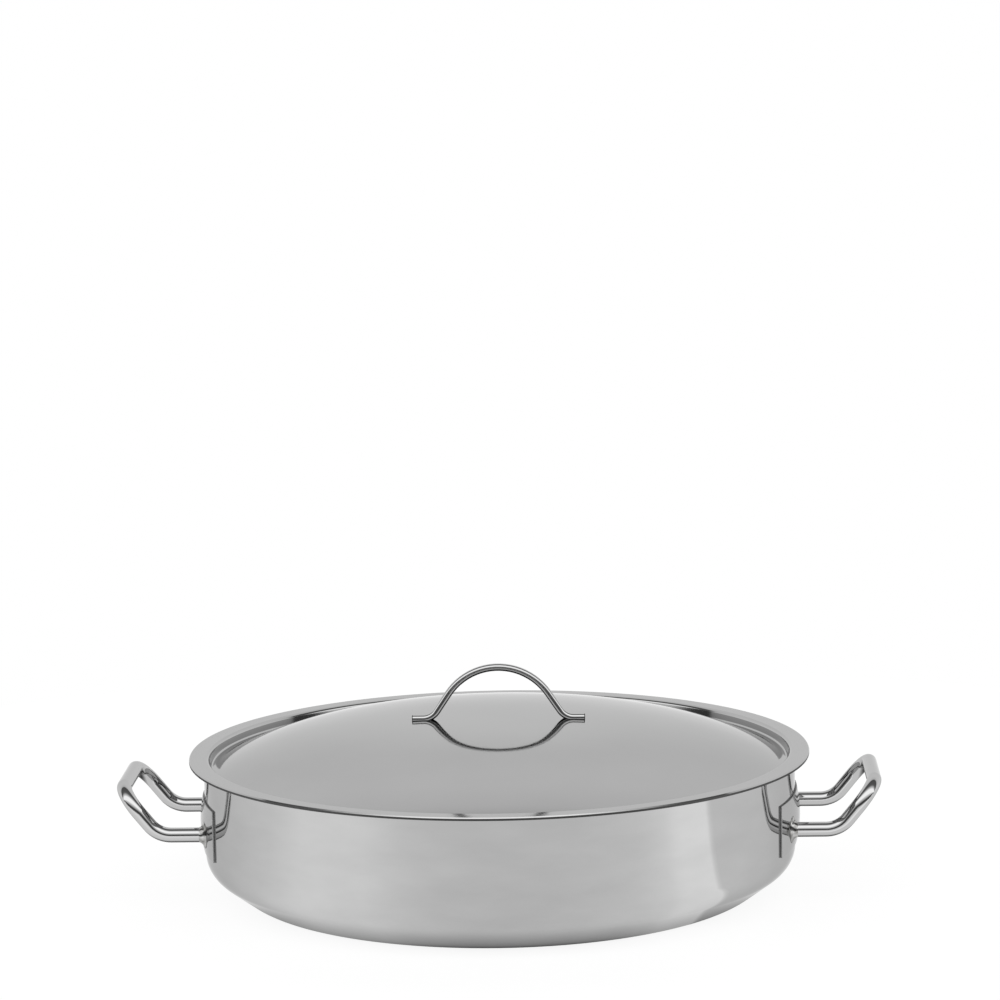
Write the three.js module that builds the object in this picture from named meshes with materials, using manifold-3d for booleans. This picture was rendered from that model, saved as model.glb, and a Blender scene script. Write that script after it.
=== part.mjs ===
// Shallow stainless steel saute pot with two welded rod handles and a domed drop-in lid.
// Millimetres, +Z up. The origin is the centre of the underside, and the side handles lie on the X axis.
import * as THREE from 'three';
import { mergeVertices } from 'three/addons/utils/BufferGeometryUtils.js';
import Module from 'manifold-3d';

// Pot shell, drawn from one sheet
const POT_INSIDE_DIAMETER = 400;
const POT_HEIGHT = 95; // underside to rim
const POT_SHEET = 1.2;
const FOOT_DIAMETER = 342; // where the slope under the wall would meet the underside
const SLOPE_RISE = 22; // underside to the height where that slope would meet the wall
const WALL_BEND = 18; // outside, from the wall into the slope
const FOOT_BEND = 26; // outside, from the slope into the underside
const FLOOR_BEND = 6; // outside, where the shell turns flat above the base

// Sandwich base, flush with the slope of the shell
const CORE_THICKNESS = 5;
const CAP_SHEET = 0.8;

// Side handles: a bent rod welded to a dished plate whose edges lie along the wall
const PLATE_WIDTH = 142; // measured along the wall
const PLATE_HEIGHT = 35;
const PLATE_SHEET = 1.2;
const PLATE_DISH = 2; // how far the middle of the plate stands off the wall
const PLATE_BELOW_RIM = 25; // rim to the top edge of the plate
const ROD_DIAMETER = 10;
const ROD_BEND = 19; // bend radius at the rod's axis
const LEG_SPACING = 94; // between the axes of the two legs
const LEG_ABOVE_PLATE_FOOT = 14.2; // lower edge of the plate to the axis of the legs
const LEG_REACH = 28; // wall to the corner where the legs turn up
const CROSSBAR_REACH = 52.2; // wall to the axis of the crossbar
const CROSSBAR_RISE = 29.8; // axis of the legs to the axis of the crossbar
const WELD_SPREAD = 2.6; // of the weld collar on the plate, beyond the rod
const WELD_LENGTH = 3.6; // of the weld collar along the rod
const WELD_LIP = 0.6; // thickness of the collar at its thin end

// Lid, pressed from one sheet
const LID_SHEET = 1;
const LID_PLAY = 1.4; // between the lid's step and the inside of the wall
const FLANGE_OVERHANG = 9.8; // beyond the outside of the wall
const STEP_DEPTH = 6;
const STEP_RUN = 1.4;
const FLANGE_BEND = 2.4; // upper face, from the flange into the step
const STEP_BEND = 1.5; // upper face, from the step into the groove
const GROOVE_WIDTH = 4.2;
const DOME_BEND = 8; // upper face, from the groove into the dome
const DOME_RISE = 27.3; // above the floor of the groove
const DOME_FULLNESS = 3.33; // exponent of the dome's curve: 2 is a parabola, more is flatter on top

// Lid handle: one bent wire
const WIRE_DIAMETER = 5;
const WIRE_BEND = 11; // where each foot turns up
const ARCH_RADIUS = 41;
const ARCH_SLOPE = THREE.MathUtils.degToRad(56); // of the straight stretch below the arch
const ARCH_RISE = 33.2; // axis of the feet to the axis at the top of the arch
const LID_HANDLE_LENGTH = 118;

// Gap kept where pieces are pressed, welded or laid together
const SEAT = 0.3;

// Fineness of the round forms
const TURN_STEPS = 64;
const BEND_STEP = THREE.MathUtils.degToRad(21); // in a bent sheet, rod or wire
const DOME_STEPS = 8;
const ROD_SIDES = 12;
const WIRE_SIDES = 10;
const SWEEP_STEP = 4; // along a bent rod or wire
const PLATE_STEPS = 12;
const PLATE_ROWS = 6;

// Share of a straight stretch that a bend beside it may take up
const BEND_SHARE = 0.98;

// Sizes that follow from those above
const potInside = POT_INSIDE_DIAMETER / 2;
const potOutside = potInside + POT_SHEET;
const footRadius = FOOT_DIAMETER / 2;
const slope = Math.atan2(SLOPE_RISE, potOutside - footRadius);
const coreFoot = CAP_SHEET + SEAT;
const coreTop = coreFoot + CORE_THICKNESS;
const shellFoot = coreTop + SEAT;
const footBendRoom = CORE_THICKNESS / Math.sin(slope) / Math.tan(slope / 2);
const footBend = Math.min(FOOT_BEND, coreFoot + BEND_SHARE * footBendRoom); // the core's side is the shortest
const plateMiddle = POT_HEIGHT - PLATE_BELOW_RIM - PLATE_HEIGHT / 2;
const plateHalfAngle = PLATE_WIDTH / 2 / potOutside;
const legHeight = plateMiddle - PLATE_HEIGHT / 2 + LEG_ABOVE_PLATE_FOOT;
const flangeOutside = potOutside + FLANGE_OVERHANG;
const flangeInside = potInside - LID_PLAY - LID_SHEET;
const stepFoot = flangeInside - STEP_RUN;
const domeRadius = stepFoot - GROOVE_WIDTH;

const polishedSteel = new THREE.MeshStandardMaterial({ color: 0xc9cacb, roughness: 0.16, metalness: 1 });
const plateSteel = new THREE.MeshStandardMaterial({ color: 0xbfc0c1, roughness: 0.24, metalness: 1 });
const weldSteel = new THREE.MeshStandardMaterial({ color: 0xa9a9a8, roughness: 0.45, metalness: 1 });
const aluminium = new THREE.MeshStandardMaterial({ color: 0xb4b6b8, roughness: 0.5, metalness: 1 });

const wasm = await Module();
wasm.setup();

function toSolid(geometry) {
  const bare = geometry.clone();
  bare.deleteAttribute('normal');
  bare.deleteAttribute('uv');
  const merged = mergeVertices(bare);
  return new wasm.Manifold(new wasm.Mesh({
    numProp: 3,
    vertProperties: new Float32Array(merged.attributes.position.array),
    triVerts: new Uint32Array(merged.index.array),
  }));
}

function toGeometry(solid) {
  const { vertProperties, triVerts } = solid.getMesh();
  const geometry = new THREE.BufferGeometry();
  geometry.setAttribute('position', new THREE.BufferAttribute(vertProperties, 3));
  geometry.setIndex(new THREE.BufferAttribute(triVerts, 1));
  geometry.computeVertexNormals();
  return geometry;
}

function named(name, geometry, material) {
  const mesh = new THREE.Mesh(geometry, material);
  mesh.name = name;
  return mesh;
}

// Points along a line of corners, with each corner that has a bend radius rounded to an arc.
function bentLine(corners) {
  const points = [];
  corners.forEach(({ at, bend }, i) => {
    if (!bend) {
      points.push(at.clone());
      return;
    }
    const back = corners[i - 1].at.clone().sub(at).normalize();
    const ahead = corners[i + 1].at.clone().sub(at).normalize();
    const half = back.angleTo(ahead) / 2;
    const turn = Math.PI - 2 * half;
    const start = at.clone().addScaledVector(back, bend / Math.tan(half));
    const towards = back.clone().add(ahead).normalize();
    const centre = at.clone().addScaledVector(towards, bend / Math.sin(half));
    const axis = ahead.clone().cross(back).normalize();
    const steps = Math.ceil(turn / BEND_STEP);
    for (let k = 0; k <= steps; k += 1) {
      const arm = start.clone().sub(centre).applyAxisAngle(axis, (turn * k) / steps);
      points.push(centre.clone().add(arm));
    }
  });
  return points;
}

// A corner of a profile: r from the axis and z up, drawn in the XY plane that a lathe turns.
function corner(r, z, bend = 0) {
  return { at: new THREE.Vector3(r, z, 0), bend };
}

// Closed outline of a sheet: one face is given, and the other lies a thickness to its left.
function sheetOutline(face, thickness) {
  const leftOf = (from, to) => new THREE.Vector3(from.y - to.y, to.x - from.x, 0).normalize();
  const far = face.map((point, i) => {
    const before = i > 0 ? leftOf(face[i - 1], point) : leftOf(point, face[i + 1]);
    const after = i < face.length - 1 ? leftOf(point, face[i + 1]) : before;
    const mitre = before.clone().add(after).divideScalar(1 + before.dot(after));
    const onAxis = point.x === 0;
    const offset = onAxis ? new THREE.Vector3(0, Math.sign(mitre.y), 0) : mitre;
    return point.clone().addScaledVector(offset, thickness);
  });
  return [...face, ...far.reverse()];
}

// Turns an outline about Z. An outline that leaves the axis closes on itself.
function turned(outline) {
  const points = outline.map(({ x, y }) => new THREE.Vector2(x, y));
  if (points[0].x > 0) points.push(points[0].clone());
  return new THREE.LatheGeometry(points, TURN_STEPS).rotateX(Math.PI / 2);
}

// Sweeps a round section along a bent line.
function bentRod(corners, diameter, sides) {
  const points = bentLine(corners);
  const path = new THREE.CurvePath();
  points.slice(1).forEach((point, i) => path.add(new THREE.LineCurve3(points[i], point)));
  const section = new THREE.Shape().absarc(0, 0, diameter / 2, 0, 2 * Math.PI);
  return new THREE.ExtrudeGeometry(section, {
    steps: Math.ceil(path.getLength() / SWEEP_STEP),
    curveSegments: sides / 2,
    extrudePath: path,
  });
}

// Radius of the outer face of the slope at a height.
function slopeRadius(height) {
  return footRadius + height / Math.tan(slope);
}

// The shell's floor runs flat over the base, turns up into the slope and rises to the rim.
function shellGeometry() {
  const outside = bentLine([
    corner(0, shellFoot),
    corner(slopeRadius(shellFoot), shellFoot, FLOOR_BEND),
    corner(potOutside, SLOPE_RISE, WALL_BEND),
    corner(potOutside, POT_HEIGHT),
  ]);
  return turned(sheetOutline(outside, POT_SHEET));
}

// Line at a depth under the outer face of the base, from the axis to the top of the core.
function baseLine(depth) {
  return bentLine([
    corner(0, depth),
    corner(footRadius - depth * Math.tan(slope / 2), depth, footBend - depth),
    corner(slopeRadius(coreTop) - depth / Math.sin(slope), coreTop),
  ]);
}

function coreGeometry() {
  return turned([...baseLine(coreFoot), new THREE.Vector3(0, coreTop, 0)]);
}

// Shallow dish round the core, with its rim cut level under the shell.
function capGeometry() {
  return turned([...baseLine(0), ...baseLine(CAP_SHEET).reverse()]);
}

// Radius of the inner face of the dished plate: along its edges it lies on the wall.
function plateRadius(angle, height) {
  const across = angle / plateHalfAngle;
  const up = (height - plateMiddle) / (PLATE_HEIGHT / 2);
  return potOutside + SEAT + PLATE_DISH * (1 - across ** 2) * (1 - up ** 2);
}

// Layer that follows the plate, centred on +X, between two distances from the plate's inner face.
function plateLayer(from, to) {
  const span = 2 * plateHalfAngle;
  const layer = new THREE.BoxGeometry(span, PLATE_HEIGHT, to - from, PLATE_STEPS, PLATE_ROWS, 1);
  const place = layer.attributes.position;
  for (let i = 0; i < place.count; i += 1) {
    const angle = place.getX(i);
    const height = plateMiddle + place.getY(i);
    const r = plateRadius(angle, height) + (from + to) / 2 + place.getZ(i);
    place.setXYZ(i, r * Math.cos(angle), r * Math.sin(angle), height);
  }
  return layer;
}

function plateGeometry() {
  return plateLayer(0, PLATE_SHEET);
}

// What lies behind the seat of the rods and welds: cut away, it saddles them to the plate.
function behindSeat() {
  return toSolid(plateLayer(-LEG_REACH, PLATE_SHEET + SEAT));
}

// Where the axis of a leg meets its seat, measured out along X.
function legSeat() {
  const side = LEG_SPACING / 2;
  const r = plateRadius(side / potOutside, legHeight) + PLATE_SHEET + SEAT;
  return Math.sqrt(r ** 2 - side ** 2);
}

function rodGeometry() {
  const side = LEG_SPACING / 2;
  const buried = legSeat() - ROD_DIAMETER;
  const leg = potOutside + LEG_REACH;
  const bar = potOutside + CROSSBAR_REACH;
  const barHeight = legHeight + CROSSBAR_RISE;
  const rod = bentRod([
    { at: new THREE.Vector3(buried, -side, legHeight), bend: 0 },
    { at: new THREE.Vector3(leg, -side, legHeight), bend: ROD_BEND },
    { at: new THREE.Vector3(bar, -side, barHeight), bend: ROD_BEND },
    { at: new THREE.Vector3(bar, side, barHeight), bend: ROD_BEND },
    { at: new THREE.Vector3(leg, side, legHeight), bend: ROD_BEND },
    { at: new THREE.Vector3(buried, side, legHeight), bend: 0 },
  ], ROD_DIAMETER, ROD_SIDES);
  return toGeometry(toSolid(rod).subtract(behindSeat()));
}

// Collar of weld metal round one leg, wide on the plate and thin along the rod.
function weldGeometry(legSide) {
  const bore = ROD_DIAMETER / 2 + SEAT;
  const across = legSide * LEG_SPACING / 2;
  const face = legSeat();
  const inside = face - ROD_DIAMETER;
  const profile = [
    new THREE.Vector2(bore, inside),
    new THREE.Vector2(bore + WELD_SPREAD, inside),
    new THREE.Vector2(bore + WELD_SPREAD, face + WELD_LIP),
    new THREE.Vector2(bore + WELD_SPREAD / 2, face + WELD_LENGTH / 2),
    new THREE.Vector2(bore + WELD_LIP, face + WELD_LENGTH),
    new THREE.Vector2(bore, face + WELD_LENGTH),
    new THREE.Vector2(bore, inside),
  ];
  const collar = new THREE.LatheGeometry(profile, 2 * ROD_SIDES).rotateZ(-Math.PI / 2);
  collar.translate(0, across, legHeight);
  return toGeometry(toSolid(collar).subtract(behindSeat()));
}

// One side handle, built on +X and turned to its side of the pot.
function sideHandle(side, turn) {
  const handle = new THREE.Group();
  handle.add(named(`${side}_handle_plate`, plateGeometry(), plateSteel));
  handle.add(named(`${side}_handle_rod`, rodGeometry(), polishedSteel));
  const front = turn === 0 ? -1 : 1;
  handle.add(named(`${side}_front_weld`, weldGeometry(front), weldSteel));
  handle.add(named(`${side}_back_weld`, weldGeometry(-front), weldSteel));
  handle.rotation.z = turn;
  return handle;
}

// Height of the lid's upper face over the dome, measured from the underside of the flange.
const grooveFloor = LID_SHEET - STEP_DEPTH;
const domeHeight = (r) => grooveFloor + DOME_RISE * (1 - (r / domeRadius) ** DOME_FULLNESS);

function lidGeometry() {
  const dome = Array.from({ length: DOME_STEPS + 1 }, (_, k) => {
    const r = domeRadius * Math.sin((Math.PI / 2) * (k / DOME_STEPS));
    return new THREE.Vector3(r, domeHeight(r), 0);
  });
  const edge = bentLine([
    { at: dome[DOME_STEPS - 1], bend: 0 },
    { at: dome[DOME_STEPS], bend: DOME_BEND },
    corner(stepFoot, grooveFloor, STEP_BEND),
    corner(flangeInside, LID_SHEET, FLANGE_BEND),
    corner(flangeOutside, LID_SHEET),
  ]);
  const upperFace = [...dome.slice(0, -2), ...edge];
  return turned(sheetOutline(upperFace.reverse(), LID_SHEET));
}

// The wire's feet lie on the dome, and its straight legs run into the arch.
function lidHandleGeometry() {
  const peak = ARCH_RISE + ARCH_RADIUS * (1 / Math.cos(ARCH_SLOPE) - 1);
  const legFoot = peak / Math.tan(ARCH_SLOPE);
  const footStart = legFoot + WIRE_BEND * Math.tan(ARCH_SLOPE / 2);
  const end = LID_HANDLE_LENGTH / 2;
  const wire = bentRod([
    { at: new THREE.Vector3(-end, 0, 0), bend: 0 },
    { at: new THREE.Vector3(-legFoot, 0, 0), bend: WIRE_BEND },
    { at: new THREE.Vector3(0, 0, peak), bend: ARCH_RADIUS },
    { at: new THREE.Vector3(legFoot, 0, 0), bend: WIRE_BEND },
    { at: new THREE.Vector3(end, 0, 0), bend: 0 },
  ], WIRE_DIAMETER, WIRE_SIDES);
  return wire.translate(0, 0, domeHeight(footStart) + SEAT + WIRE_DIAMETER / 2);
}

const pot = new THREE.Group();
pot.add(named('pot_body', shellGeometry(), polishedSteel));
pot.add(named('base_core', coreGeometry(), aluminium));
pot.add(named('base_cap', capGeometry(), polishedSteel));
pot.add(sideHandle('right', 0));
pot.add(sideHandle('left', Math.PI));

const lid = new THREE.Group();
lid.add(named('lid', lidGeometry(), polishedSteel));
lid.add(named('lid_handle', lidHandleGeometry(), polishedSteel));
lid.position.z = POT_HEIGHT + SEAT;

const sautePot = new THREE.Group();
sautePot.add(pot, lid);

export default sautePot;
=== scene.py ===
# %% [markdown]
# # A shallow stainless pot with a drop-in lid
#
# The pot is polished steel all over, so it has almost no colour of its own: what the eye reads is
# the room that it mirrors. That decides how everything here is made. Faceted CAD solids would
# break the reflections, so each visible piece is made again, smooth, at the same size and place.
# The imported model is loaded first, because every piece rides on one of its bodies.

# %% Load the frame
from math import atan2, ceil, cos, pi, radians, sqrt, tan

import bmesh
import bpy
from mathutils import Matrix, Vector


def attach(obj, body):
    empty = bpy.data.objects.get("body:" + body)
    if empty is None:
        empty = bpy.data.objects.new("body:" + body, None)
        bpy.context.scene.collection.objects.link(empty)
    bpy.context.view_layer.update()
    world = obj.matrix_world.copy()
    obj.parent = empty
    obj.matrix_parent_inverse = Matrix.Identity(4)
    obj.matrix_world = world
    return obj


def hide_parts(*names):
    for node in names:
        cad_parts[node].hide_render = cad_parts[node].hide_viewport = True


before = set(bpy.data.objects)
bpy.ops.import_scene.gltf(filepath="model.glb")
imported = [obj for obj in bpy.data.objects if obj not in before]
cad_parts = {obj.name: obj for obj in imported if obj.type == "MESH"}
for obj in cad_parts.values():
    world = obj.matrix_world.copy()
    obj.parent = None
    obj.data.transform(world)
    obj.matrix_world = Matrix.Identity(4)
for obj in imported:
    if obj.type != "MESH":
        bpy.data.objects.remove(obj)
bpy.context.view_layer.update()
scene = bpy.context.scene
scene.view_settings.view_transform = "Standard"
MM = 0.001
UP = Vector((0, 0, 1))

# %% [markdown]
# ## Camera
#
# The photograph looks slightly down on the pot from nearly three metres away, with a long lens,
# and the pot sits low in a square frame. The lens could be shifted, but other views keep a shift,
# so the camera is simply pitched up until the pot drops to its place. It also leans a little to
# one side, which is why the rim isn't quite level.

# %% Camera
CAMERA_PLACE = (0.1034, -2.7, 0.6596)
CAMERA_TURN = radians(2.117)
CAMERA_PITCH = radians(-8.248)
CAMERA_LEAN = radians(-0.997)
LENS = 145.4  # mm, on a 36 mm sensor

camera_data = bpy.data.cameras.new("studio_camera")
camera_data.sensor_width = 36
camera_data.lens = LENS
camera = bpy.data.objects.new("studio_camera", camera_data)
scene.collection.objects.link(camera)
camera.matrix_world = (
    Matrix.Translation(CAMERA_PLACE)
    @ Matrix.Rotation(CAMERA_TURN, 4, "Z")
    @ Matrix.Rotation(radians(90) + CAMERA_PITCH, 4, "X")
    @ Matrix.Rotation(CAMERA_LEAN, 4, "Z")
)
scene.camera = camera
print("camera at", [round(v, 3) for v in camera.location], "lens", LENS)

# %% [markdown]
# ## A pen that draws lines and tubes
#
# A lathe profile and a bent rod are the same idea: a tip walks along straights and arcs, and
# leaves edges or a skin behind. Blender's spin operator does both, since it can turn its selection
# about an axis or, with no angle, only push it along. With a single vertex as the tip it draws
# a profile; with a ring of edges it draws a tube.

# %% Pen
FINE_BEND = radians(5)


def run(bm, tip, way, steps=1):
    """Pushes the tip straight on along a way, and returns the new tip."""
    if way.length < 1e-9:
        return tip
    pushed = bmesh.ops.spin(bm, geom=tip, cent=(0, 0, 0), axis=UP, dvec=way / steps, angle=0, steps=steps)
    return pushed["geom_last"]


def bend(bm, tip, centre, axis, angle):
    """Swings the tip round a centre, and returns the new tip."""
    steps = max(2, ceil(abs(angle) / FINE_BEND))
    return bmesh.ops.spin(bm, geom=tip, cent=centre, axis=axis, angle=angle, steps=steps)["geom_last"]


def draw(bm, tip, corners):
    """Walks the tip along corners, each a point and the bend radius there."""
    points = [Vector(point) for point, _ in corners]
    radii = [radius for _, radius in corners]
    at = points[0]
    for before, here, after, radius in zip(points, points[1:], points[2:], radii[1:]):
        arriving = (here - before).normalized()
        leaving = (after - here).normalized()
        angle = arriving.angle(leaving)
        setback = radius * tan(angle / 2)
        start = here - arriving * setback
        tip = run(bm, tip, start - at)
        axis = arriving.cross(leaving).normalized()
        tip = bend(bm, tip, start + axis.cross(arriving) * radius, axis, angle)
        at = here + leaving * setback
    return run(bm, tip, points[-1] - at)


# %% [markdown]
# Every piece then takes the same last steps: its mesh becomes an object at the origin, it is
# shaded smooth, it says which CAD node it stands for, and it rides on that node's body. A weighted
# normal keeps broad flat faces truly flat in the mirror, where plain smooth shading would bow them
# next to a small round. Creases and open edges are marked sharp, so that no shading runs over them.

# %% From mesh to piece
def piece(name, bm, node, body, slot, *materials):
    """Makes a smooth object of a mesh, which stands for a CAD node and rides on a body."""
    mesh = bpy.data.meshes.new(name)
    bm.to_mesh(mesh)
    bm.free()
    mesh.shade_smooth()
    for material in materials:
        mesh.materials.append(material)
    made = bpy.data.objects.new(name, mesh)
    scene.collection.objects.link(made)
    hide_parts(node)
    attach(made, body)
    print(name, "stands for", node, "with", len(mesh.polygons), "faces")
    return made


def sheet_thickness(made, thickness, round_over):
    """Gives a surface its thickness inwards and rounds its edges. Returns the Solidify."""
    solidify = made.modifiers.new("sheet", "SOLIDIFY")
    solidify.thickness = thickness
    solidify.offset = -1
    solidify.use_even_offset = True
    soften(made, round_over)
    return solidify


def soften(made, round_over, least_angle=50):
    """Rounds the edges that turn by more than some degrees."""
    rounded = made.modifiers.new("rounded_edges", "BEVEL")
    rounded.width = round_over
    rounded.segments = 4
    rounded.limit_method = "ANGLE"
    rounded.angle_limit = radians(least_angle)
    true_normals = made.modifiers.new("true_normals", "WEIGHTED_NORMAL")
    true_normals.weight = 80
    true_normals.keep_sharp = True


TURN_STEPS = 240
CREASE = radians(30)  # a sharper edge than this, or an open one, isn't shaded round


def turn_about_axis(bm, inside_point):
    """Spins a drawn profile into a surface that faces away from a point behind the sheet."""
    bmesh.ops.spin(bm, geom=bm.verts[:] + bm.edges[:], cent=(0, 0, 0), axis=UP,
                   angle=2 * pi, steps=TURN_STEPS, use_merge=True)
    bmesh.ops.remove_doubles(bm, verts=bm.verts, dist=1e-6)
    bmesh.ops.recalc_face_normals(bm, faces=bm.faces)
    facing = sum(f.normal.dot(f.calc_center_median() - inside_point) * f.calc_area() for f in bm.faces)
    if facing < 0:
        bmesh.ops.reverse_faces(bm, faces=bm.faces)
    for edge in bm.edges:
        edge.smooth = edge.calc_face_angle(pi) < CREASE


# %% [markdown]
# ## Steel finishes
#
# All of it is one kind of stainless steel, so its reflectance hardly changes. What differs is how
# each surface was finished: the drawn wall was polished round and round and mirrors the handles,
# the rods were drawn bright, the base was left with the satin of spinning, and cut edges and welds
# are dull. So each finish is one Principled shader, fully metallic, with its own roughness and its
# own marks. Colours are written as sRGB hex and turned to linear in one place.

# %% Colours and nodes
def linear(hex_colour):
    channels = [int(hex_colour[i:i + 2], 16) / 255 for i in (1, 3, 5)]
    return (*[c / 12.92 if c <= 0.04045 else ((c + 0.055) / 1.055) ** 2.4 for c in channels], 1.0)


def add(tree, kind, inputs=None, **settings):
    """Adds a node. An input is a value, or the socket that feeds it."""
    made = tree.nodes.new(kind)
    for setting, value in settings.items():
        setattr(made, setting, value)
    for socket, value in (inputs or {}).items():
        if isinstance(value, bpy.types.NodeSocket):
            tree.links.new(value, made.inputs[socket])
        else:
            made.inputs[socket].default_value = value
    return made


GLANCING = linear("#D8D8D8")  # polished steel brightens less than most metals at a glancing angle


def metal(name):
    """A bare metallic shader and its tree."""
    material = bpy.data.materials.new(name)
    material.use_nodes = True
    shader = material.node_tree.nodes["Principled BSDF"]
    shader.inputs["Metallic"].default_value = 1.0
    shader.inputs["Specular Tint"].default_value = GLANCING
    return material, material.node_tree, shader


def per_mm(size):
    """Noise scale, in features per metre, for features of a size in millimetres."""
    return 1 / (size * MM)


# %% [markdown]
# Polished sheet: polishing a drawn sheet leaves a mirror that isn't perfectly even. The eye gets a
# faint cloudiness where the mop bit more or less, drawn out along its way round the pot, the slow
# ripple that drawing left in the metal, and very fine lines that run round the pot. The lines follow
# the distance from the axis and the height, so the noise is fed those two instead of a plain
# position. Real polishing lines are a few hundredths of a millimetre apart; they are drawn at about
# a millimetre so that they show at all. Inside, the pot is brushed and not polished: the same finish
# with much more roughness gives that satin.

# %% Polished sheet
def polished_sheet(name, colour, cloud, roughness, ripple):
    material, tree, shader = metal(name)
    place = add(tree, "ShaderNodeTexCoord").outputs["Object"]
    drawn_out = add(tree, "ShaderNodeMapping", {"Vector": place, "Scale": (1.0, 1.0, 3.0)})
    clouds = add(tree, "ShaderNodeTexNoise", {"Vector": drawn_out.outputs["Vector"], "Scale": per_mm(48),
                                              "Detail": 3.0})
    shade = add(tree, "ShaderNodeValToRGB", {"Fac": clouds.outputs["Fac"]})
    shade.color_ramp.elements[0].color = linear(cloud)
    shade.color_ramp.elements[1].color = linear(colour)
    tree.links.new(shade.outputs["Color"], shader.inputs["Base Color"])

    axes = add(tree, "ShaderNodeSeparateXYZ", {"Vector": place})
    flat = add(tree, "ShaderNodeCombineXYZ", {"X": axes.outputs["X"], "Y": axes.outputs["Y"]})
    radius = add(tree, "ShaderNodeVectorMath", {"Vector": flat.outputs["Vector"]}, operation="LENGTH")
    round_and_up = add(tree, "ShaderNodeCombineXYZ", {"X": radius.outputs["Value"], "Z": axes.outputs["Z"]})
    lines = add(tree, "ShaderNodeTexNoise", {"Vector": round_and_up.outputs["Vector"], "Scale": per_mm(1.0),
                                             "Detail": 2.0})
    gloss = add(tree, "ShaderNodeMapRange", {"Value": lines.outputs["Fac"], "From Min": 0.3,
                                             "From Max": 0.7, "To Min": roughness * 0.8,
                                             "To Max": roughness * 1.25})
    tree.links.new(gloss.outputs["Result"], shader.inputs["Roughness"])

    waves = add(tree, "ShaderNodeTexNoise", {"Vector": place, "Scale": per_mm(38), "Detail": 0.0})
    bump = add(tree, "ShaderNodeBump", {"Height": waves.outputs["Fac"], "Strength": 1.0,
                                        "Distance": ripple})
    tree.links.new(bump.outputs["Normal"], shader.inputs["Normal"])
    return material


drawn_wall_steel = polished_sheet("stainless_drawn_and_polished", "#BBBBBB", "#ADADAD", 0.05, 0.05 * MM)
satin_inside_steel = polished_sheet("stainless_satin_brushed", "#BEBEBE", "#B2B2B2", 0.3, 0.02 * MM)
pressed_lid_steel = polished_sheet("stainless_pressed_and_polished", "#B7B7B7", "#B1B1B1", 0.07, 0.03 * MM)
plate_steel = polished_sheet("stainless_plate_polished", "#B6B6B6", "#AFAFAF", 0.08, 0.03 * MM)
for finish in (drawn_wall_steel, satin_inside_steel, pressed_lid_steel, plate_steel):
    print("sheet finish:", finish.name)

# %% [markdown]
# Bright rod and wire: drawn through a die and buffed, the cleanest mirror on the pot. The die leaves
# hair lines along the rod that are too fine to see here, so only a trace of cloudiness is kept. The
# underside is painted shade: the colour darkens, and the roughness rises, as the surface faces down.
# That paints a thin dark line under the rods, and a broader one under the wire, which lies close to
# the lid.

# %% Bright rod
def bright_rod(name, shade_from, shade_at):
    """A mirror with painted shade where the surface faces down: darker and rougher between two values of its
    normal's Z.
    """
    material, tree, shader = metal(name)
    place = add(tree, "ShaderNodeTexCoord")
    facing = add(tree, "ShaderNodeSeparateXYZ", {"Vector": place.outputs["Normal"]})
    painted_underside_shade = add(tree, "ShaderNodeMapRange", {"Value": facing.outputs["Z"], "From Min": shade_from,
                                               "From Max": shade_at})
    # painted shade: the colour runs from bright steel to #1E1E1E as the surface faces down
    tone = add(tree, "ShaderNodeValToRGB", {"Fac": painted_underside_shade.outputs["Result"]})
    tone.color_ramp.elements[0].color = linear("#BDBDBD")
    tone.color_ramp.elements[1].color = linear("#1E1E1E")
    tree.links.new(tone.outputs["Color"], shader.inputs["Base Color"])
    smears = add(tree, "ShaderNodeTexNoise", {"Vector": place.outputs["Object"], "Scale": per_mm(14),
                                              "Detail": 3.0})
    gloss = add(tree, "ShaderNodeMapRange", {"Value": smears.outputs["Fac"], "From Min": 0.35,
                                             "From Max": 0.7, "To Min": 0.035, "To Max": 0.07})
    rough = add(tree, "ShaderNodeMath", {0: painted_underside_shade.outputs["Result"], 1: 0.25, 2: gloss.outputs["Result"]},
                operation="MULTIPLY_ADD")
    tree.links.new(rough.outputs["Value"], shader.inputs["Roughness"])
    return material


# painted shade: a thin dark line under the rods, and a broader one under the wire
bright_rod_steel = bright_rod("stainless_rod_drawn_bright", -0.55, -0.8)
bright_wire_steel = bright_rod("stainless_wire_drawn_bright", -0.26, -0.5)
print("rod finishes:", bright_rod_steel.name, bright_wire_steel.name)

# %% [markdown]
# Spun satin: the base cap is finished on a lathe, and the tool leaves rings round its centre that
# spread each highlight into a fan. The rings are a wave on the distance from the axis, about two
# millimetres apart so that they show.

# %% Spun base
RING_GAP = 2 * MM
RINGS_PER_UNIT = 20 / (2 * pi)  # of the wave texture at a scale of 1

spun_base_steel, tree, shader = metal("stainless_spun_satin")
shader.inputs["Base Color"].default_value = linear("#B2B2B2")
place = add(tree, "ShaderNodeTexCoord").outputs["Object"]
rings = add(tree, "ShaderNodeTexWave", {"Vector": place, "Scale": 1 / (RING_GAP * RINGS_PER_UNIT),
                                        "Distortion": 0.6, "Detail": 2.0, "Detail Scale": 1.0},
            wave_type="RINGS", rings_direction="Z")
gloss = add(tree, "ShaderNodeMapRange", {"Value": rings.outputs["Fac"], "To Min": 0.16, "To Max": 0.30})
tree.links.new(gloss.outputs["Result"], shader.inputs["Roughness"])
bump = add(tree, "ShaderNodeBump", {"Height": rings.outputs["Fac"], "Strength": 0.25, "Distance": 0.05 * MM})
tree.links.new(bump.outputs["Normal"], shader.inputs["Normal"])
print("base finish:", spun_base_steel.name)
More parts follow.
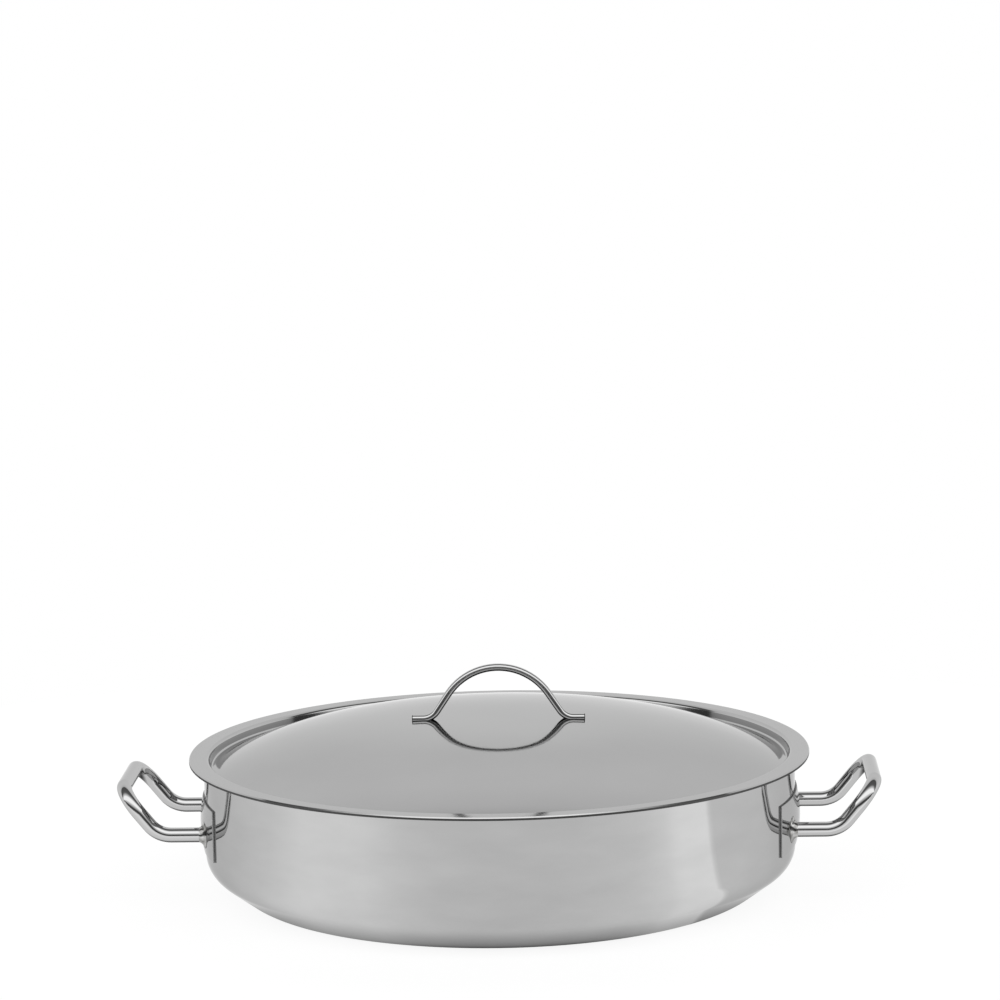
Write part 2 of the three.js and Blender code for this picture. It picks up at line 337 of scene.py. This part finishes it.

# %% [markdown]
# Cut edges and weld: where plate is sheared, the torn grain scatters light, and the rim of a plate
# reads as a dull line beside the mirror. Edges that a hand touches, on the lid and at the ends of its
# wire, are simply given a darker colour still. Weld metal is brushed by hand after it cools, so it is
# lumpy and a little stained by the heat.

# %% Cut edges and weld
def cut_edge(name, dark, light, roughness):
    material, tree, shader = metal(name)
    place = add(tree, "ShaderNodeTexCoord").outputs["Object"]
    grain = add(tree, "ShaderNodeTexNoise", {"Vector": place, "Scale": per_mm(0.8), "Detail": 3.0})
    tone = add(tree, "ShaderNodeValToRGB", {"Fac": grain.outputs["Fac"]})
    tone.color_ramp.elements[0].color = linear(dark)
    tone.color_ramp.elements[1].color = linear(light)
    tree.links.new(tone.outputs["Color"], shader.inputs["Base Color"])
    shader.inputs["Roughness"].default_value = roughness
    bump = add(tree, "ShaderNodeBump", {"Height": grain.outputs["Fac"], "Strength": 0.4,
                                        "Distance": 0.1 * MM})
    tree.links.new(bump.outputs["Normal"], shader.inputs["Normal"])
    return material


sheared_edge_steel = cut_edge("stainless_sheared_edge", "#8A8A8A", "#B8B8B8", 0.35)
dark_edge_steel = cut_edge("stainless_dark_edge", "#3C3C3C", "#5E5E5E", 0.34)

brushed_weld_steel, tree, shader = metal("stainless_weld_brushed")
place = add(tree, "ShaderNodeTexCoord").outputs["Object"]
stains = add(tree, "ShaderNodeTexNoise", {"Vector": place, "Scale": per_mm(5), "Detail": 4.0})
tone = add(tree, "ShaderNodeValToRGB", {"Fac": stains.outputs["Fac"]})
tone.color_ramp.elements[0].position = 0.35
tone.color_ramp.elements[0].color = linear("#7C7B79")
tone.color_ramp.elements[1].position = 0.65
tone.color_ramp.elements[1].color = linear("#C2C2C1")
tree.links.new(tone.outputs["Color"], shader.inputs["Base Color"])
gloss = add(tree, "ShaderNodeMapRange", {"Value": stains.outputs["Fac"], "To Min": 0.06, "To Max": 0.2})
tree.links.new(gloss.outputs["Result"], shader.inputs["Roughness"])
print("dull finishes:", sheared_edge_steel.name, dark_edge_steel.name, brushed_weld_steel.name)

# %% [markdown]
# Rolled aluminium: the disc that spreads the heat is sealed inside the base. It keeps its CAD solid,
# with the pale, softly streaked face of rolled plate.

# %% Aluminium core
rolled_aluminium, tree, shader = metal("aluminium_rolled")
place = add(tree, "ShaderNodeTexCoord").outputs["Object"]
along = add(tree, "ShaderNodeMapping", {"Vector": place, "Scale": (0.05, 1.0, 1.0)})
streaks = add(tree, "ShaderNodeTexNoise", {"Vector": along.outputs["Vector"], "Scale": per_mm(1.2),
                                           "Detail": 3.0})
tone = add(tree, "ShaderNodeValToRGB", {"Fac": streaks.outputs["Fac"]})
tone.color_ramp.elements[0].color = linear("#BFC1C3")
tone.color_ramp.elements[1].color = linear("#D3D5D6")
tree.links.new(tone.outputs["Color"], shader.inputs["Base Color"])
shader.inputs["Roughness"].default_value = 0.35
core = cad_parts["base_core"]
core.data.materials.clear()
core.data.materials.append(rolled_aluminium)
print("core finish:", rolled_aluminium.name)

# %% [markdown]
# ## The drawn shell
#
# One disc of sheet is drawn into the pot: a flat floor, a slope, a soft bend and a straight wall up
# to a plain rim. A cylinder with a bevelled corner would come close, but slope and wall have to pass
# into each other with a true bend, so the outside is drawn as a profile and turned about the axis.
# Solidify then gives the sheet its thickness inwards, and hands the inner faces the satin.

# %% Shell
WALL = 201.2 * MM
RIM = 95 * MM
SHEET = 1.2 * MM
RIM_ROUND = 0.4 * MM
FOOT = 171 * MM  # where the slope would meet the underside
SLOPE_RISE = 22 * MM  # where the slope would meet the wall
WALL_BEND = 18 * MM
SEAM = 6.4 * MM  # underside of the shell's floor, where the base begins


def on_slope(height):
    return Vector((FOOT + height * (WALL - FOOT) / SLOPE_RISE, 0, height))


bm = bmesh.new()
tip = [bm.verts.new((0, 0, SEAM))]
draw(bm, tip, [((0, 0, SEAM), 0), (on_slope(SEAM), 0), (on_slope(SLOPE_RISE), WALL_BEND),
               ((WALL, 0, RIM), 0)])
turn_about_axis(bm, Vector((0, 0, RIM)))
shell = piece("pot_shell", bm, "pot_body", "pot", "polished_steel", drawn_wall_steel, satin_inside_steel)
sheet_thickness(shell, SHEET, RIM_ROUND).material_offset = 1

# %% [markdown]
# ## The base cap
#
# A thin steel dish closes the sandwich base from below. It carries the slope on down to the flat
# that the pot stands on. Its rim was polished together with the wall, so no seam shows, and only
# the flat keeps the rings of the lathe: the faces there take the second material.

# %% Base cap
CAP_SHEET = 0.8 * MM
CAP_LAP = 0.1 * MM  # how far the cap covers the seam
FOOT_BEND = 26 * MM

bm = bmesh.new()
tip = [bm.verts.new((0, 0, 0))]
draw(bm, tip, [((0, 0, 0), 0), ((FOOT, 0, 0), FOOT_BEND), (on_slope(SEAM + CAP_LAP), 0)])
turn_about_axis(bm, Vector((0, 0, RIM)))
for face in bm.faces:
    face.material_index = int(face.calc_center_median().z < 0.01 * MM)
cap = piece("base_dish", bm, "base_cap", "pot", "base_steel", drawn_wall_steel, spun_base_steel)
thickness = cap.modifiers.new("sheet", "SOLIDIFY")
thickness.thickness = CAP_SHEET
thickness.offset = -1

# %% [markdown]
# ## Wall plates
#
# The rods aren't welded to the thin wall but to plates that spread the load. Each plate is pressed
# into a very shallow dish, so that its edges lie along the wall and its middle stands off a little.
# An upright line is swept a few degrees about the pot's axis, every point is then pushed outwards by
# the depth of the dish there, and Solidify hands the rim faces the second material, the sheared edge.

# %% Plates
PLATE_FACE = 202.5 * MM
PLATE_SHEET = 1.2 * MM
PLATE_DISH = 2 * MM
PLATE_FOOT = 35 * MM
PLATE_TOP = 70 * MM
PLATE_WIDTH = 142 * MM
PLATE_ROUND = 0.2 * MM
PLATE_ROWS = 16
PLATE_COLUMNS = 48
SIDES = {"right": 0.0, "left": pi}

half_plate = PLATE_WIDTH / 2 / WALL
plate_middle = (PLATE_TOP + PLATE_FOOT) / 2


def dish_depth(angle, height):
    across = angle / half_plate
    up = (height - plate_middle) / (PLATE_TOP - plate_middle)
    return PLATE_DISH * (1 - across ** 2) * (1 - up ** 2)


for side, facing in SIDES.items():
    bm = bmesh.new()
    start = Matrix.Rotation(-half_plate, 3, "Z") @ Vector((PLATE_FACE, 0, PLATE_FOOT))
    run(bm, [bm.verts.new(start)], Vector((0, 0, PLATE_TOP - PLATE_FOOT)), steps=PLATE_ROWS)
    bmesh.ops.spin(bm, geom=bm.verts[:] + bm.edges[:], cent=(0, 0, 0), axis=UP,
                   angle=2 * half_plate, steps=PLATE_COLUMNS)
    for vert in bm.verts:
        outwards = Vector((vert.co.x, vert.co.y, 0)).normalized()
        vert.co += outwards * dish_depth(atan2(vert.co.y, vert.co.x), vert.co.z)
    bmesh.ops.rotate(bm, verts=bm.verts, cent=(0, 0, 0), matrix=Matrix.Rotation(facing, 3, "Z"))
    bm.normal_update()
    if sum(f.normal.dot(f.calc_center_median()) for f in bm.faces) < 0:
        bmesh.ops.reverse_faces(bm, faces=bm.faces)
    plate = piece(f"{side}_wall_plate", bm, f"{side}_handle_plate", "pot", "plate_steel",
                  plate_steel, sheared_edge_steel)
    sheet_thickness(plate, PLATE_SHEET, PLATE_ROUND).material_offset_rim = 1

# %% [markdown]
# ## Bent rods
#
# Each side handle is one rod: out from the plate, up at a slant, across, and back. A curve object
# with a round bevel would do, but its corners are only as round as its handles are placed, so the
# pen draws the tube with true bend radii, as a bending tool leaves them.

# %% Rods
ROD = 5 * MM  # radius
ROD_BEND = 19 * MM
LEG = 47 * MM  # from the middle plane to each leg
LEG_HEIGHT = 49.2 * MM
LEG_CORNER = 229.2 * MM
BAR = 253.4 * MM
BAR_HEIGHT = 79 * MM
LEG_START = 196.6 * MM  # inside the thickness of the plate
ROD_SIDES = 40
ROD_ROUND = 0.2 * MM  # at the cut ends


def tube(bm, corners, radius, sides):
    """Draws a closed tube along corners, from a ring that faces along the first straight."""
    first, second = Vector(corners[0][0]), Vector(corners[1][0])
    facing = UP.rotation_difference(second - first).to_matrix().to_4x4()
    there = Matrix.Translation(first) @ facing
    ring = bmesh.ops.create_circle(bm, segments=sides, radius=radius, matrix=there)
    draw(bm, ring["verts"] + bm.edges[:], corners)
    bmesh.ops.holes_fill(bm, edges=[e for e in bm.edges if e.is_boundary], sides=0)
    bmesh.ops.recalc_face_normals(bm, faces=bm.faces)


for side, facing in SIDES.items():
    bm = bmesh.new()
    tube(bm, [((LEG_START, -LEG, LEG_HEIGHT), 0), ((LEG_CORNER, -LEG, LEG_HEIGHT), ROD_BEND),
              ((BAR, -LEG, BAR_HEIGHT), ROD_BEND), ((BAR, LEG, BAR_HEIGHT), ROD_BEND),
              ((LEG_CORNER, LEG, LEG_HEIGHT), ROD_BEND), ((LEG_START, LEG, LEG_HEIGHT), 0)], ROD, ROD_SIDES)
    bmesh.ops.rotate(bm, verts=bm.verts, cent=(0, 0, 0), matrix=Matrix.Rotation(facing, 3, "Z"))
    rod = piece(f"{side}_bent_rod", bm, f"{side}_handle_rod", "pot", "rod_steel", bright_rod_steel)
    soften(rod, ROD_ROUND)

# %% [markdown]
# ## Weld collars
#
# Where a leg meets its plate, the weld leaves a slim collar that is thin on the rod, wider on the
# plate and drawn out into a tongue above and below. A few rings are bridged into a skin, a
# subdivision rounds it, and a little displacement makes it as uneven as weld metal is.

# %% Welds
WELD_RINGS = [(-1.2, 6.6, 10.2), (0.1, 6.5, 9.6), (0.6, 6.0, 7.4), (1.6, 5.5, 5.9), (3.0, 5.2, 5.25),
              (3.6, 4.8, 4.8)]  # mm along the rod, across it and up
WELD_SIDES = 20
WELD_TOP = 3.0  # mm along the rod, where the rings stand square to it
LUMP_SIZE = 3.0 * MM
LUMP_HEIGHT = 0.35 * MM
LEG_AT_PLATE = 199.2 * MM

lumps = bpy.data.textures.new("weld_lumps", "CLOUDS")
lumps.noise_scale = LUMP_SIZE
leg_angle = atan2(LEG, LEG_AT_PLATE)
leg_face = PLATE_FACE + dish_depth(leg_angle, LEG_HEIGHT)
leg_foot = sqrt(leg_face ** 2 - LEG ** 2)

for side, facing in SIDES.items():
    for place_name, front in (("front", -1), ("back", 1)):
        bm = bmesh.new()
        across_leg = front * LEG if side == "right" else -front * LEG
        rings = []
        for along, across, up in WELD_RINGS:
            ring = bmesh.ops.create_circle(bm, segments=WELD_SIDES, radius=1.0)["verts"]
            bmesh.ops.scale(bm, verts=ring, vec=(up * MM, across * MM, 1))
            bmesh.ops.rotate(bm, verts=ring, cent=(0, 0, 0), matrix=Matrix.Rotation(radians(90), 3, "Y"))
            slant = across_leg / leg_foot * max(0.0, 1 - along / WELD_TOP)  # its foot lies along the plate
            for vert in ring:
                vert.co.x -= vert.co.y * slant
            bmesh.ops.translate(bm, verts=ring, vec=(leg_foot + along * MM, across_leg, LEG_HEIGHT))
            rings.append(ring)
        for lower, upper in zip(rings, rings[1:]):
            pair = [e for e in bm.edges if set(e.verts) <= set(lower) or set(e.verts) <= set(upper)]
            bmesh.ops.bridge_loops(bm, edges=pair)
        bmesh.ops.holes_fill(bm, edges=[e for e in bm.edges if e.is_boundary], sides=0)
        bmesh.ops.recalc_face_normals(bm, faces=bm.faces)
        bmesh.ops.rotate(bm, verts=bm.verts, cent=(0, 0, 0), matrix=Matrix.Rotation(facing, 3, "Z"))
        weld = piece(f"{side}_{place_name}_bead", bm, f"{side}_{place_name}_weld", "pot", "weld_steel",
                     brushed_weld_steel)
        smooth = weld.modifiers.new("rounded", "SUBSURF")
        smooth.levels = smooth.render_levels = 2
        uneven = weld.modifiers.new("lumps", "DISPLACE")
        uneven.texture = lumps
        uneven.texture_coords = "LOCAL"
        uneven.strength = LUMP_HEIGHT
        uneven.mid_level = 0.5

# %% [markdown]
# ## The lid
#
# One pressed sheet: a flange that lies on the rim, a step that drops inside it, a narrow groove
# and a dome that is nearly flat on top and falls off ever faster towards the groove. A power curve
# a little over the third has just that fall. The edge of the flange is turned down: its slant
# catches the light as a bright line, and the cut faces below it take the second material, the dark
# edge. The profile is drawn from the middle outwards and turned like the shell.

# %% Lid
LID_SHEET = 1 * MM
FLANGE_TOP = 96.3 * MM
FLANGE_EDGE = 211 * MM
FLANGE_INSIDE = 197.6 * MM
LIP_RUN = 0.6 * MM  # of the slanted edge that catches the light
LIP_BEND = 95.5 * MM
LIP_FOOT = 94.1 * MM
EDGE_ROUND = 0.05 * MM
STEP_FOOT = 196.2 * MM
STEP_BEND = 2.4 * MM  # into the flange
GROOVE = 89.5 * MM
GROOVE_BEND = 1.5 * MM  # into the step
DOME_EDGE = 192 * MM
DOME_BEND = 7 * MM  # into the groove
DOME_STOP = 190.2 * MM  # where the curve hands over to the bend
DOME_RISE = 28.1 * MM
DOME_FULLNESS = 3.5
DOME_STEPS = 60


def dome(r):
    return Vector((r, 0, GROOVE + DOME_RISE * (1 - (r / DOME_EDGE) ** DOME_FULLNESS)))


bm = bmesh.new()
at = dome(0)
tip = [bm.verts.new(at)]
for k in range(1, DOME_STEPS + 1):
    there = dome(DOME_STOP * k / DOME_STEPS)
    tip = run(bm, tip, there - at)
    at = there
draw(bm, tip, [(at, 0), ((DOME_EDGE, 0, GROOVE), DOME_BEND), ((STEP_FOOT, 0, GROOVE), GROOVE_BEND),
               ((FLANGE_INSIDE, 0, FLANGE_TOP), STEP_BEND), ((FLANGE_EDGE - LIP_RUN, 0, FLANGE_TOP), 0),
               ((FLANGE_EDGE, 0, LIP_BEND), 0), ((FLANGE_EDGE, 0, LIP_FOOT), 0)])
turn_about_axis(bm, Vector((0, 0, 0)))
for face in bm.faces:
    middle = face.calc_center_median()
    face.material_index = int(middle.z < LIP_BEND and middle.xy.length > FLANGE_EDGE - LIP_RUN)
lid = piece("lid_pressing", bm, "lid", "lid", "lid_steel", pressed_lid_steel, dark_edge_steel)
sheet_thickness(lid, LID_SHEET, EDGE_ROUND)

# %% [markdown]
# ## The lid's wire handle
#
# A single wire arches over the middle of the lid, with two short feet that lie along the dome. The
# same pen draws it. The weld has let the feet a little way into the sheet, so points that would lie
# deeper are lifted to that depth. The ends are cut square and then rounded, and both the cut and the
# round take the second material.

# %% Lid handle
WIRE = 2.5 * MM  # radius
WIRE_BEND = 11 * MM
ARCH = 41 * MM
ARCH_SLOPE = radians(56)
FOOT_AXIS = 118 * MM
ARCH_RISE = 35.1 * MM
FOOT_END = 59 * MM
WELD_SINK = 0.6 * MM  # how deep the weld lets the feet into the sheet
WIRE_SIDES = 32
END_ROUND = 1.1 * MM

peak = ARCH_RISE + ARCH * (1 / cos(ARCH_SLOPE) - 1)  # where the two straight legs would meet
arch_foot = peak / tan(ARCH_SLOPE)
bm = bmesh.new()
tube(bm, [((-FOOT_END, 0, FOOT_AXIS), 0), ((-arch_foot, 0, FOOT_AXIS), WIRE_BEND),
          ((0, 0, FOOT_AXIS + peak), ARCH), ((arch_foot, 0, FOOT_AXIS), WIRE_BEND),
          ((FOOT_END, 0, FOOT_AXIS), 0)], WIRE, WIRE_SIDES)
for vert in bm.verts:
    vert.co.z = max(vert.co.z, dome(abs(vert.co.x)).z - WELD_SINK)
for face in bm.faces:
    face.material_index = int(len(face.verts) > 4)  # only the two cut ends have more corners
wire = piece("lid_wire", bm, "lid_handle", "lid", "rod_steel", bright_wire_steel, dark_edge_steel)
soften(wire, END_ROUND, least_angle=70)
wire.modifiers["rounded_edges"].material = 1

# %% [markdown]
# ## Floor
#
# Polished steel shows its floor: the whole lower wall is a picture of it. The floor is a plain pale
# disc that catches the pot's soft shadow. It also glows a little for the camera and for mirrors, so
# that it ends as pure white. Round the foot the glow for mirrors fades to nothing, a painted shadow
# where the pot shuts the light out, and the wall shows that as the dark line that it stands on. For
# mirrors only, two painted pools of light make the floor brighter to the left and right of the pot,
# which the wall shows as two upright painted highlights; a ramp round the pot sets how bright.

# %% Floor
FLOOR_RADIUS = 0.8
FLOOR_DROP = 0.3 * MM  # a hair below the pot
FLOOR_GREY = (0.14, 0.14, 0.14, 1)
PAINTED_POOLS_CENTRE = (0, -0.098, 0)
CAMERA_GLOW = 0.9
MIRROR_GLOW = 0.855
SHADE_INNER = 0.166  # from the dark line where the pot stands
SHADE_OUTER = 0.183  # to the open floor
# painted pools of light on the floor, seen only in mirrors, which the wall shows as painted highlights
PAINTED_LIGHT_POOLS = [
    (-180, 0.03), (-105, 0.06), (-90, 0.12), (-82, 0.2), (-75, 0.27), (-68, 0.28), (-49, 0.25), (-43, 0.19),
    (-36, 0.12), (-30, 0.08), (-20, 0.03), (-8, 0.0), (20, 0.0), (35, 0.03), (47, 0.07), (53, 0.1),
    (57, 0.14), (60, 0.18), (65, 0.25), (69, 0.36), (72, 0.4), (83, 0.42), (85, 0.06), (180, 0.03),
]  # degrees from the front, and brightness


def set_stops(ramp, stops):
    """Gives a ramp grey stops, each a place from 0 to 1 and a brightness."""
    ramp.elements.remove(ramp.elements[1])
    for place, level in stops[1:]:
        ramp.elements.new(place).color = (level, level, level, 1)
    ramp.elements[0].position, level = stops[0]
    ramp.elements[0].color = (level, level, level, 1)


bm = bmesh.new()
bmesh.ops.create_circle(bm, cap_ends=True, segments=180, radius=FLOOR_RADIUS)
bmesh.ops.translate(bm, verts=bm.verts, vec=(0, 0, -FLOOR_DROP))
floor_mesh = bpy.data.meshes.new("floor")
bm.to_mesh(floor_mesh)
bm.free()
floor = bpy.data.objects.new("floor", floor_mesh)
scene.collection.objects.link(floor)

paper = bpy.data.materials.new("paper_white_matte")
paper.use_nodes = True
tree = paper.node_tree
tree.nodes.clear()
rays = add(tree, "ShaderNodeLightPath")
place = add(tree, "ShaderNodeTexCoord").outputs["Object"]
centred = add(tree, "ShaderNodeVectorMath", {0: place, 1: PAINTED_POOLS_CENTRE}, operation="SUBTRACT")
axes = add(tree, "ShaderNodeSeparateXYZ", {"Vector": centred.outputs["Vector"]})
ahead = add(tree, "ShaderNodeMath", {0: axes.outputs["Y"], 1: -1.0}, operation="MULTIPLY")
round_from_front = add(tree, "ShaderNodeMath", {0: axes.outputs["X"], 1: ahead.outputs["Value"]},
                       operation="ARCTAN2")
turn = add(tree, "ShaderNodeMapRange", {"Value": round_from_front.outputs["Value"], "From Min": -pi,
                                        "From Max": pi})
painted_pools_ramp = add(tree, "ShaderNodeValToRGB", {"Fac": turn.outputs["Result"]})
set_stops(painted_pools_ramp.color_ramp, [((degrees + 180) / 360, glow) for degrees, glow in PAINTED_LIGHT_POOLS])
painted_pool_light = add(tree, "ShaderNodeMath", {0: painted_pools_ramp.outputs["Color"], 1: rays.outputs["Is Glossy Ray"]},
                  operation="MULTIPLY")
# painted contact shadow, for mirrors only: the glow fades to nothing round the foot
from_axis = add(tree, "ShaderNodeVectorMath", {0: place}, operation="LENGTH")
open_floor = add(tree, "ShaderNodeMapRange", {"Value": from_axis.outputs["Value"],
                                              "From Min": SHADE_INNER, "From Max": SHADE_OUTER,
                                              "To Min": 0.0, "To Max": MIRROR_GLOW})
mirror_glow = add(tree, "ShaderNodeMath", {0: rays.outputs["Is Glossy Ray"],
                                           1: open_floor.outputs["Result"]}, operation="MULTIPLY")
seen = add(tree, "ShaderNodeMath", {0: rays.outputs["Is Camera Ray"], 1: CAMERA_GLOW}, operation="MULTIPLY")
base_glow = add(tree, "ShaderNodeMath", {0: seen.outputs["Value"], 1: mirror_glow.outputs["Value"]},
                operation="ADD")
glow = add(tree, "ShaderNodeMath", {0: base_glow.outputs["Value"], 1: painted_pool_light.outputs["Value"]},
           operation="ADD")
matte = add(tree, "ShaderNodeBsdfDiffuse", {"Color": FLOOR_GREY})
lit = add(tree, "ShaderNodeEmission", {"Color": (1, 1, 1, 1), "Strength": glow.outputs["Value"]})
both = add(tree, "ShaderNodeAddShader", {0: matte.outputs["BSDF"], 1: lit.outputs["Emission"]})
add(tree, "ShaderNodeOutputMaterial", {"Surface": both.outputs["Shader"]})
floor_mesh.materials.append(paper)
print("floor of radius", FLOOR_RADIUS)

# %% [markdown]
# ## Studio light
#
# The room is drawn in the world, as bands that run from the camera's side over the top to the back:
# a narrow dark gap behind the camera, a long soft box from in front to overhead, a dark gap, and a
# pale grey backdrop. The lid mirrors only the backdrop, so it comes out an even grey, while the
# rods turn through all the bands and show them as fine black and white lines. The camera itself
# sees plain white.

# %% World
BANDS = [
    (0, 0.35), (3, 0.06), (12, 0.06), (18, 0.3), (26, 0.75), (36, 1.2), (42, 1.7), (64, 1.7), (72, 1.0),
    (84, 0.25), (90, 0.15), (112, 0.12), (116, 0.72), (122, 0.87), (135, 0.97), (150, 1.01), (156, 1.03),
    (167, 1.11), (175, 1.14), (180, 1.1),
]  # degrees over the top from the front, and brightness

world = bpy.data.worlds.new("studio")
world.use_nodes = True
scene.world = world
tree = world.node_tree
tree.nodes.clear()
direction = add(tree, "ShaderNodeTexCoord").outputs["Generated"]
axes = add(tree, "ShaderNodeSeparateXYZ", {"Vector": direction})
height = add(tree, "ShaderNodeMath", {0: axes.outputs["Z"]}, operation="ABSOLUTE")
ahead = add(tree, "ShaderNodeMath", {0: axes.outputs["Y"], 1: -1.0}, operation="MULTIPLY")
over = add(tree, "ShaderNodeMath", {0: height.outputs["Value"], 1: ahead.outputs["Value"]},
           operation="ARCTAN2")
share = add(tree, "ShaderNodeMath", {0: over.outputs["Value"], 1: pi}, operation="DIVIDE")
bands = add(tree, "ShaderNodeValToRGB", {"Fac": share.outputs["Value"]})
set_stops(bands.color_ramp, [(degrees / 180, level) for degrees, level in BANDS])
room = add(tree, "ShaderNodeBackground", {"Color": bands.outputs["Color"], "Strength": 1.0})
white = add(tree, "ShaderNodeBackground", {"Color": (1, 1, 1, 1), "Strength": 1.0})
rays = add(tree, "ShaderNodeLightPath")
chosen = add(tree, "ShaderNodeMixShader", {0: rays.outputs["Is Camera Ray"], 1: room.outputs["Background"],
                                           2: white.outputs["Background"]})
add(tree, "ShaderNodeOutputWorld", {"Surface": chosen.outputs["Shader"]})
print("world bands:", len(BANDS))
